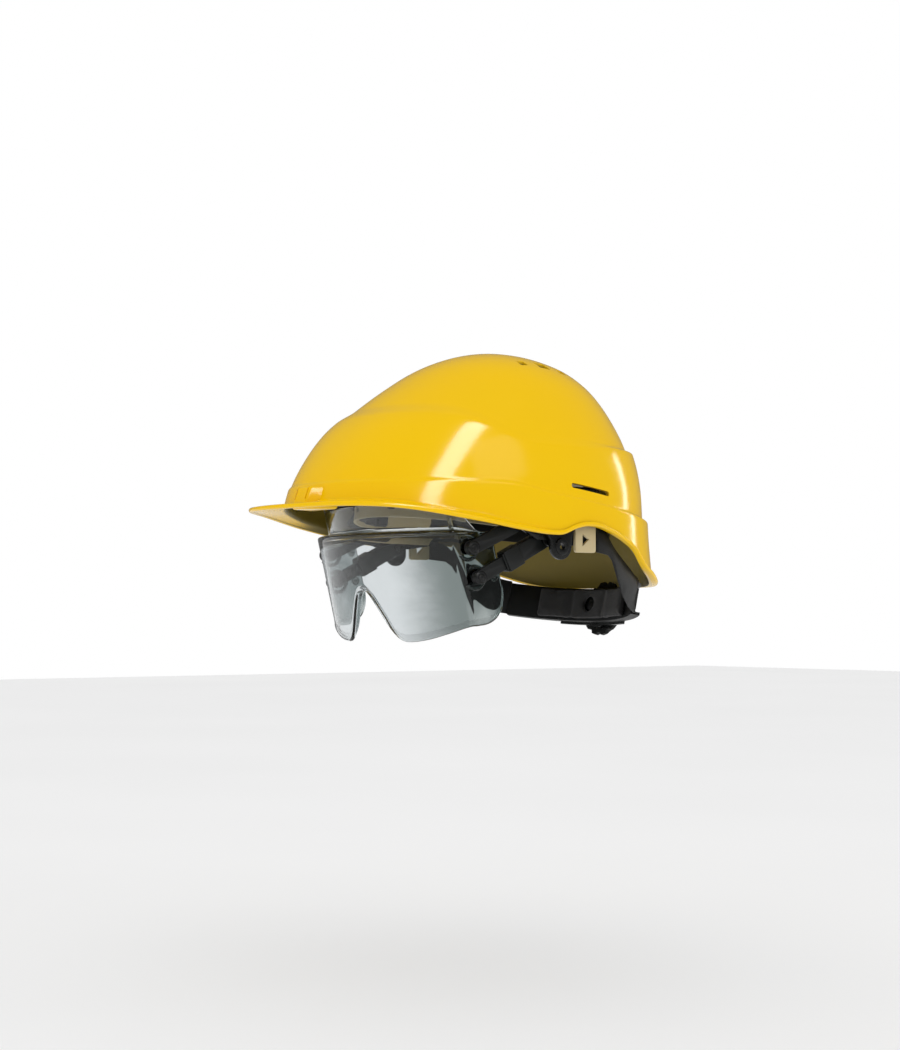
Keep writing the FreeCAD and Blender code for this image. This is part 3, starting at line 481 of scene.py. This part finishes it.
def shell_profile(angle):
    """One closed section of the shell, from the crown's outside to the crown's inside."""
    nominal = dome_point(angle, 60.0, 0.0)
    panel = PANEL_LINE(nominal.y)
    belt = BELT_LINE(dome_point(angle, 20.0, 0.0).y)
    foot = dome_point(angle, 0.0, 3.3)
    rim_z = RIM_HEIGHT(foot.y)
    forward = smooth_step(20.0, -45.0, foot.y)
    rear = smooth_step(70.0, 110.0, foot.y)
    wall_base = rim_z + 2.0 + 5.0 * forward
    depths = spread(0.0, math.sqrt(1.0 - (panel + 4.0) / CROWN), 36)
    heights = [CROWN * (1.0 - d * d) for d in depths]
    heights += spread(panel + 4.0, panel - 4.2, 10)
    heights += spread(panel - 4.2, belt + 1.4, 13)
    heights += spread(belt + 1.4, belt - 1.4, 6)
    heights += spread(belt - 1.4, wall_base, 9)
    points = [dome_point(angle, z, steps(angle, z, panel, belt)) for z in heights]
    start = dome_point(angle, wall_base, steps(angle, wall_base, panel, belt))
    ray = Vector((math.cos(angle), math.sin(angle), 0.0))
    wall_reach = (start - Vector((0.0, 14.0, start.z))).length
    width = (rim_reach(angle) - wall_reach) * forward + (1.0 + 2.2 * rear) * (1.0 - forward)
    edge_flat = start + ray * width
    edge_z = RIM_HEIGHT(edge_flat.y)
    thick = 3.2
    edge = Vector((edge_flat.x, edge_flat.y, edge_z + thick))
    points += [bezier(start, start - Vector((0, 0, 0.5 * (start.z - edge.z))),
                      edge - ray * width * 0.45 + Vector((0, 0, 0.5 * forward)), edge, i / 9.0) for i in range(9)]
    low = Vector((edge.x, edge.y, edge_z))
    for turn in (0.0, 0.25, 0.5, 0.75, 1.0):
        swing = math.pi * turn
        points.append(edge + (low - edge) * (1.0 - math.cos(swing)) / 2.0 + ray * (0.45 * thick * math.sin(swing)))
    inner_out = steps(angle, rim_z, panel, belt) - WALL + 0.2
    inner_base = dome_point(angle, RIM_HEIGHT(foot.y) + 0.8 + 4.6 * forward, inner_out)
    inner_low = Vector((inner_base.x, inner_base.y, RIM_HEIGHT(inner_base.y) + 3.4 * forward))
    lip = low - ray * min(2.4, max(0.3, width))
    recess = Vector((0, 0, 0.7 * forward))
    points.append(lip)
    points.append(lip - ray * 0.5 + recess)
    under_end = inner_low + ray * 1.6 * forward + recess
    points += [(lip - ray * 0.5 + recess).lerp(under_end, i / 6.0) for i in range(1, 7)]
    points.append(inner_base)
    inner_top = CROWN - WALL
    depth_low = math.sqrt(max(0.0, 1.0 - inner_base.z / inner_top))
    for i in range(1, 31):
        depth = depth_low * (1.0 - i / 30.0)
        z = inner_top * (1.0 - depth * depth)
        proud = steps(angle, z * CROWN / inner_top, panel, belt) - WALL
        blend = smooth_step(0.0, 0.16, i / 30.0)
        proud = proud * (1 - blend) + (2.0 - WALL) * blend
        relief = smooth_step(-74.0, -56.0, nominal.y) * smooth_step(-2.0, -18.0, nominal.y)
        proud += 2.0 * relief * smooth_step(70.0, 45.0, z)
        flat = dome_point(angle, z * CROWN / inner_top, proud if depth > 0.12 else proud * depth / 0.12)
        points.append(Vector((flat.x, flat.y, z)))
    points[0] = Vector((0.0, 32.0, CROWN))
    points[-1] = Vector((0.0, 32.0, inner_top))
    return points


SHELL_COLUMNS = 168


def mark_hollow_side(shell):
    """Store on each vertex how far it faces into the shell: the mask for the painted shade and duller finish of the
    inside, with a faint painted shade on downward faces.
    """
    mask = shell.data.attributes.new(name="hollow", type="FLOAT", domain="POINT")
    centre = Vector((0.0, 0.016, 0.020))
    for vertex in shell.data.vertices:
        inward = (centre - vertex.co).normalized().dot(vertex.normal)
        # Downward faces get a faint painted shade.
        underside_shade = 0.10 * smooth_step(0.6, 0.9, -vertex.normal.z)
        mask.data[vertex.index].value = max(smooth_step(0.1, 0.5, inward), underside_shade)


def make_shell():
    sections = [shell_profile(2.0 * math.pi * i / SHELL_COLUMNS) for i in range(SHELL_COLUMNS)]
    rows = len(sections[0]) - 1
    crown_blend = 3

    def place(row, column):
        point = sections[column % SHELL_COLUMNS][row]
        return point * MM

    shell = sheet_of("helmet_shell", rows, SHELL_COLUMNS, place)
    modify(shell, "SUBSURF", levels=1, render_levels=1)
    cutters = []
    for sign in (1.0, -1.0):
        for y, half_y, half_x in ((26.0, 3.0, 3.2), (43.0, 4.6, 4.2), (59.5, 3.0, 3.2)):
            x = sign * 45.0
            cutters.append(block("vent", [(x - half_x) * MM, (y - half_y) * MM, 0.085],
                                 [(x + half_x) * MM, (y + half_y) * MM, 0.135], 0.8 * MM, 2))
        slot = block("slot", [-0.01, 22.4 * MM, -1.6 * MM], [0.01, 59.6 * MM, 1.6 * MM], 1.5 * MM, 3)
        for vertex in slot.data.vertices:
            vertex.co.z += 0.0263 - (vertex.co.y - 0.0224) * 0.115
            vertex.co.x += sign * 0.100
        cutters.append(slot)
    cut_away(shell, cutters)
    mark_hollow_side(shell)
    settle(shell, "root", YELLOW, 28.0)
    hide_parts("shell")
    return shell


def make_front_block():
    """The small raised block low on the front of the crown, with a slot down each side."""
    piece = block("front_block", [-0.0078, -0.1250, 0.0100], [0.0078, -0.104, 0.0250], 1.8 * MM, 5)
    for vertex in piece.data.vertices:
        vertex.co.y += smooth_step(0.012, 0.026, vertex.co.z) * 0.0045
        vertex.co.x *= 1.0 + 1.2 * smooth_step(-0.122, -0.108, vertex.co.y)
    cutters = []
    for sign in (1.0, -1.0):
        x = sign * 0.0062
        cutters.append(block("block_slot", [x - 0.0005, -0.13, 0.0165], [x + 0.0005, -0.118, 0.0270]))
    cut_away(piece, cutters)
    settle(piece, "root", YELLOW)
    return piece


# ---- visor lens ---------------------------------------------------------------------------
LENS_LOW, LENS_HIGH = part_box("visor_lens")
LENS_HALF = LENS_HIGH.x / MM
LENS_FRONT = -84.0
LENS_CORNER = -58.0
LENS_LEAN = 0.25
LENS_TOP = -5.0
UPPER_TOP = LENS_HIGH.z / MM
CORNER_RADIUS = 7.0
LENS_LOBES = curve_through(((0.0, -42.5), (3.5, -43.3), (8.0, -47.0), (15.5, -58.0), (23.0, -69.5), (29.0, -75.0),
                            (35.0, -76.5), (50.0, -75.0), (66.0, -70.8), (80.0, -66.3), (90.0, -65.0)))


def lens_plan(column):
    """Point, outward direction and front-to-side share of one column of the lens, in mm."""
    bow = (LENS_HALF ** 2 + (LENS_CORNER - LENS_FRONT) ** 2) / (2.0 * (LENS_CORNER - LENS_FRONT))
    middle_y = LENS_FRONT + bow
    inner = LENS_HALF - CORNER_RADIUS
    turn_y = middle_y - math.sqrt((bow - CORNER_RADIUS) ** 2 - inner ** 2)
    spread_angle = math.atan2(inner, middle_y - turn_y)
    mirrored = 1.0 if column >= 0 else -1.0
    step = abs(column)
    if step <= FRONT_COLUMNS:
        angle = spread_angle * step / FRONT_COLUMNS
        out = Vector((math.sin(angle), -math.cos(angle), 0.0))
        point = Vector((0.0, middle_y, 0.0)) + out * bow
        side = 0.0
    elif step <= FRONT_COLUMNS + CORNER_COLUMNS:
        share = (step - FRONT_COLUMNS) / CORNER_COLUMNS
        angle = spread_angle + (math.pi / 2.0 - spread_angle) * share
        out = Vector((math.sin(angle), -math.cos(angle), 0.0))
        point = Vector((inner, turn_y, 0.0)) + out * CORNER_RADIUS
        side = 0.0
    else:
        side = (step - FRONT_COLUMNS - CORNER_COLUMNS) / SIDE_COLUMNS
        out = Vector((1.0, 0.0, 0.0))
        point = Vector((LENS_HALF, turn_y + (SIDE_REAR - turn_y) * math.sin(side * math.pi / 2.0), 0.0))
    return Vector((point.x * mirrored, point.y, 0.0)), Vector((out.x * mirrored, out.y, 0.0)), side


FRONT_COLUMNS = 54
CORNER_COLUMNS = 8
SIDE_COLUMNS = 16
SIDE_REAR = -28.0
LENS_THICK = 2.0


def lens_section(column):
    """One closed section of the lens: upper wall, ledge, face, beaded edge and back."""
    point, out, side = lens_plan(column)
    across = abs(point.x)
    low = LENS_LOBES(across)
    if side > 0.0:
        swing = math.sin(side * math.pi / 2.0)
        low = -38.0 - 27.8 * (max(0.0, 1.0 - swing ** 2.3)) ** (1.0 / 2.3)
    hood = 1.0 - smooth_step(0.10, 0.42, side)
    flange = 2.2 * (1.0 - smooth_step(17.0, 29.0, across))
    top = LENS_TOP - 4.0 * max(0.0, side - 0.7) ** 2 / 0.09
    full = [(9.0, UPPER_TOP - i * (UPPER_TOP + 2.6) / 7.0) for i in range(8)]
    full += [(8.4, -3.5), (6.5, -4.0), (3.0, -4.1), (1.0, -4.4), (0.2, -5.2)]
    rest = [(0.5, top), (0.2, top - 0.2)]
    path = []
    for i, (inset, z) in enumerate(full):
        flat = rest[0] if i < 11 else rest[1]
        path.append((flat[0] + (inset - flat[0]) * hood, flat[1] + (z - flat[1]) * hood))
    path += [(0.0, z) for z in spread(top - 1.2, low + 2.2, 24)]
    bead = ((-0.25, 2.2), (-0.55, 1.2), (-0.1, 0.3), (1.0, 0.0), (1.4 + flange * 0.5, 0.0), (2.2 + flange, 0.2),
            (2.6 + flange, 1.0), (2.2 + flange, 1.8), (2.1 + flange * 0.4, 2.1), (2.0, 3.2))
    path += [(inset, low + rise) for inset, rise in bead]
    path += [(LENS_THICK, z) for z in spread(low + 4.5, top - 3.4, 20)]
    back = [(3.0, -6.5), (6.0, -6.1), (10.0, -5.9), (11.0, -5.0)] + [(11.0, -3.0 + i * (UPPER_TOP + 3.0) / 4.0) for i in range(5)]
    for inset, z in back:
        path.append((1.6 + (inset - 1.6) * hood, top + 0.0 + (z - top) * hood))
    pinch = 1.0 - max(0.0, side - 0.93) / 0.07 * 0.999
    points = []
    for inset, z in path:
        inset = 1.0 + (inset - 1.0) * pinch
        lean = LENS_LEAN * (LENS_TOP - z)
        points.append((point - out * inset + Vector((0.0, lean, z))) * MM)
    points.append(points[0].copy())
    return points


def make_lens():
    span = FRONT_COLUMNS + CORNER_COLUMNS + SIDE_COLUMNS
    sections = [lens_section(i - span) for i in range(2 * span + 1)]
    rows = len(sections[0]) - 1
    lens = sheet_of("visor_lens_clear", rows, 2 * span, lambda row, column: sections[column][row])
    modify(lens, "SUBSURF", levels=1, render_levels=1)
    settle(lens, "lens", CLEAR, 60.0)
    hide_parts("visor_lens")
    return lens


LENS_PINS = ((-42.0, -35.0), (-47.5, -16.0))     # Y, Z in mm


def ring_part(name, x, y, z, radius, thick, open_from=None, open_to=None):
    """A round bead standing on a side panel, open between two angles in the Y-Z plane."""
    bpy.ops.object.select_all(action="DESELECT")
    bpy.ops.mesh.primitive_torus_add(major_radius=radius * MM, minor_radius=thick * MM, major_segments=72,
                                     minor_segments=12, rotation=(0.0, math.pi / 2.0, 0.0),
                                     location=(x * MM, y * MM, z * MM))
    piece = bpy.context.active_object
    piece.name = name
    bpy.ops.object.transform_apply(location=True, rotation=True, scale=True)
    if open_from is not None:
        shape = bmesh.new()
        shape.from_mesh(piece.data)
        gone = []
        for vertex in shape.verts:
            angle = math.degrees(math.atan2(vertex.co.z - z * MM, vertex.co.y - y * MM)) % 360.0
            if open_from < angle < open_to:
                gone.append(vertex)
        bmesh.ops.delete(shape, geom=gone, context="VERTS")
        edges = [e for e in shape.edges if e.is_boundary]
        bmesh.ops.holes_fill(shape, edges=edges, sides=0)
        bmesh.ops.recalc_face_normals(shape, faces=shape.faces)
        shape.to_mesh(piece.data)
        shape.free()
    return piece


def make_lens_beads():
    """Raised guards round the pivots and small studs behind them, moulded in the side panels."""
    for side, sign in SIDES:
        parts = []
        for y, z in LENS_PINS:
            parts.append(ring_part("guard", sign * (LENS_HALF + 0.2), y, z, 7.4, 1.3, 140.0, 215.0))
        for y, z in ((-30.0, -13.5), (-26.5, -34.0)):
            parts.append(ring_part("stud_ring", sign * (LENS_HALF + 0.2), y, z, 2.6, 0.6))
            bpy.ops.mesh.primitive_uv_sphere_add(segments=24, ring_count=12, radius=1.5 * MM,
                                                 location=(sign * LENS_HALF * MM, y * MM, z * MM))
            parts.append(bpy.context.active_object)
        piece = join(parts)
        piece.name = "lens_guards_" + side
        settle(piece, "lens", CLEAR)


# ---- arms and pins ------------------------------------------------------------------------
def make_arms():
    for side, _ in SIDES:
        softened("upper_arm_" + side, "upper_arm_" + side, BLACK_ARM, 0.5 * MM)
        softened("lower_arm_rod_" + side, "visor_rod_" + side, BLACK_ARM, 0.5 * MM)
        softened("lower_arm_sleeve_" + side, "visor_sleeve_" + side, BLACK_ARM, 0.4 * MM)
        softened("length_lock_" + side, "visor_sleeve_" + side, BLACK_ARM, 0.35 * MM)


def make_pin_caps():
    """Ringed caps on the four lens pins."""
    softened("lens_pivot_pins", "lens", BLACK_GLOSS, 0.3 * MM)
    low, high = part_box("lens_pivot_pins")
    for side, sign in SIDES:
        face = (high.x / MM - 0.2) * sign
        parts = []
        for y, z in LENS_PINS:
            parts.append(ring_part("cap_ring", face, y, z, 3.3, 0.45))
            parts.append(ring_part("cap_core", face, y, z, 1.5, 0.4))
        piece = join(parts)
        piece.name = "pin_cap_rings_" + side
        settle(piece, "lens", BLACK_GLOSS)


# ---- harness ------------------------------------------------------------------------------
def make_harness():
    softened("brow_band", "root", BEIGE, 0.35 * MM)
    softened("rear_hoop", "root", BLACK_SATIN, 0.35 * MM)
    for side, _ in SIDES:
        softened("chassis_plate_" + side, "root", BLACK_GLOSS, 0.4 * MM)
        softened("chin_strap_anchor_" + side, "root", BLACK_GLOSS, 0.7 * MM, 4)
        softened("harness_clip_" + side, "root", BEIGE, 0.4 * MM)
        softened("band_link_" + side, "root", BEIGE, 0.4 * MM)
        softened("nape_arm_" + side, "root", BLACK_SATIN, 0.5 * MM)
    softened("chassis_pivot_pins", "root", BLACK_GLOSS, 0.3 * MM)


def make_nape():
    softened("nape_band", "root", BLACK_SATIN, 0.4 * MM)
    softened("nape_housing", "root", BLACK_GLOSS, 0.5 * MM)
    softened("ratchet_knob", "nape_knob", BLACK_SATIN, 0.5 * MM)
    softened("detent_ring", "root", BEIGE, 0.2 * MM)
    softened("nape_rack_left", "nape_strap_left", BLACK_SATIN, 0.12 * MM, 2)
    softened("nape_rack_right", "nape_strap_right", BLACK_SATIN, 0.12 * MM, 2)
    softened("knob_shaft", "nape_knob", BLACK_GLOSS, 0.2 * MM)


def make_pad(node, shrink, voxel, swell, seams):
    """A foam-backed cloth pad: the frame's pad, drawn in, sewn along its seams and blown up as cloth."""
    pad = NODES[node].copy()
    pad.data = NODES[node].data.copy()
    pad.name = "padded_" + node
    bpy.context.collection.objects.link(pad)
    pad.parent = None
    edit(pad, close_seams)
    modify(pad, "REMESH", mode="VOXEL", voxel_size=voxel)
    start = []
    sewn = []
    for vertex in pad.data.vertices:
        depth = seams(vertex.co)
        vertex.co -= vertex.normal * (shrink + depth)
        start.append(vertex.co.copy())
        if depth > 0.0:
            sewn.append(vertex.index)
    pick(pad)
    group = pad.vertex_groups.new(name="sewn")
    group.add(sewn, 1.0, "REPLACE")
    cloth = pad.modifiers.new("cloth", "CLOTH")
    cloth.settings.use_pressure = True
    cloth.settings.uniform_pressure_force = 4.0
    cloth.settings.effector_weights.gravity = 0.0
    cloth.settings.vertex_group_mass = "sewn"
    for number in range(1, 21):
        bpy.context.scene.frame_set(number)
    shaped = pad.evaluated_get(bpy.context.evaluated_depsgraph_get()).data
    moved = [vertex.co.copy() for vertex in shaped.vertices]
    pad.modifiers.clear()
    bpy.context.scene.frame_set(1)
    for vertex, before, after in zip(pad.data.vertices, start, moved):
        travel = after - before
        vertex.co = before + travel * min(1.0, swell / max(travel.length, 1e-9))
    pad.vertex_groups.clear()
    modify(pad, "SMOOTH", factor=0.5, iterations=2)
    modify(pad, "SUBSURF", levels=1, render_levels=1)
    settle(pad, "root", PAD_CLOTH, 60.0)
    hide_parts(node)
    return pad


def make_pads():
    """The sweat band has cross seams every 24 degrees; the nape pad has a seam each side of its hole."""
    head_middle = 0.027
    nape_middle = 0.012

    def brow_seams(point):
        turn = math.degrees(math.atan2(point.x, head_middle - point.y))
        return 0.0006 * (abs((turn + 12.0) % 24.0 - 12.0) < 1.0)

    def nape_seams(point):
        turn = math.degrees(math.atan2(abs(point.x), point.y - nape_middle))
        return 0.0006 * (abs(turn - 9.0) < 0.7)

    make_pad("sweat_band", 0.0004, 0.0016, 0.0009, brow_seams)
    make_pad("nape_pad", 0.0004, 0.0016, 0.0009, nape_seams)


def make_straps():
    for number in (1, 2, 3):
        softened("cradle_strap_" + str(number), "root", WEBBING, 0.3 * MM)


# ---- stage --------------------------------------------------------------------------------
def make_floor():
    bpy.ops.object.select_all(action="DESELECT")
    bpy.ops.mesh.primitive_plane_add(size=12.0, location=(0.0, 0.0, -0.30))
    floor = bpy.context.active_object
    floor.name = "floor"
    floor.data.materials.append(floor_paint())


def area_light(name, azimuth, elevation, size, power, roll=0.0, distance=2.2):
    """A soft panel that adds sheen only, placed by azimuth and elevation in degrees and rolled on its axis."""
    turn, rise = math.radians(azimuth), math.radians(elevation)
    away = Vector((math.cos(rise) * math.sin(turn), -math.cos(rise) * math.cos(turn), math.sin(rise)))
    lamp = bpy.data.lights.new(name, "AREA")
    lamp.shape = "RECTANGLE"
    lamp.size = size[0]
    lamp.size_y = size[1]
    lamp.energy = power
    holder = bpy.data.objects.new(name, lamp)
    bpy.context.collection.objects.link(holder)
    holder.location = Vector((0.05, 0.0, 0.04)) + away * distance
    facing = (-away).to_track_quat("-Z", "Y") @ Quaternion((0.0, 0.0, 1.0), math.radians(roll))
    holder.rotation_euler = facing.to_euler()
    holder.visible_diffuse = False


def make_lights():
    world = bpy.data.worlds.new("studio")
    bpy.context.scene.world = world
    world.use_nodes = True
    sky = world.node_tree.nodes["Background"]
    world.cycles.sampling_method = "NONE"
    sky.inputs["Color"].default_value = (1.0, 1.0, 1.0, 1.0)
    rays = world.node_tree.nodes.new("ShaderNodeLightPath")
    level = world.node_tree.nodes.new("ShaderNodeMapRange")
    level.inputs["To Min"].default_value = 1.0
    level.inputs["To Max"].default_value = 0.20
    mirrored = world.node_tree.nodes.new("ShaderNodeMath")
    mirrored.operation = "SUBTRACT"
    mirrored.use_clamp = True
    world.node_tree.links.new(rays.outputs["Is Glossy Ray"], mirrored.inputs[0])
    world.node_tree.links.new(rays.outputs["Is Transmission Ray"], mirrored.inputs[1])
    world.node_tree.links.new(mirrored.outputs[0], level.inputs["Value"])
    world.node_tree.links.new(level.outputs["Result"], sky.inputs["Strength"])
    area_light("tall_panel", 68.0, 47.0, (0.60, 2.7), 80.0, -24.0)
    area_light("side_panel", 101.0, 36.0, (1.0, 1.26), 6.0)
    area_light("rear_strip", 176.0, 8.0, (0.16, 0.9), 4.5)
    bpy.context.scene.view_settings.view_transform = "Standard"


def make_camera():
    """Low on the wearer's front left, slightly below the brim."""
    azimuth, elevation, distance = math.radians(53.5), math.radians(-2.7), 1.30
    lens = bpy.data.cameras.new("camera")
    lens.lens = 64.6
    lens.sensor_width = 36.0
    lens.shift_x = -0.0019
    lens.shift_y = 0.0048
    holder = bpy.data.objects.new("camera", lens)
    bpy.context.collection.objects.link(holder)
    place = Vector((math.sin(azimuth) * math.cos(elevation), -math.cos(azimuth) * math.cos(elevation),
                    math.sin(elevation))) * distance
    holder.location = place
    holder.rotation_euler = (-place).to_track_quat("-Z", "Y").to_euler()
    bpy.context.scene.camera = holder


make_camera()
make_shell()
make_front_block()
make_lens()
make_lens_beads()
make_arms()
make_pin_caps()
make_harness()
make_nape()
make_straps()
make_pads()
make_floor()
make_lights()
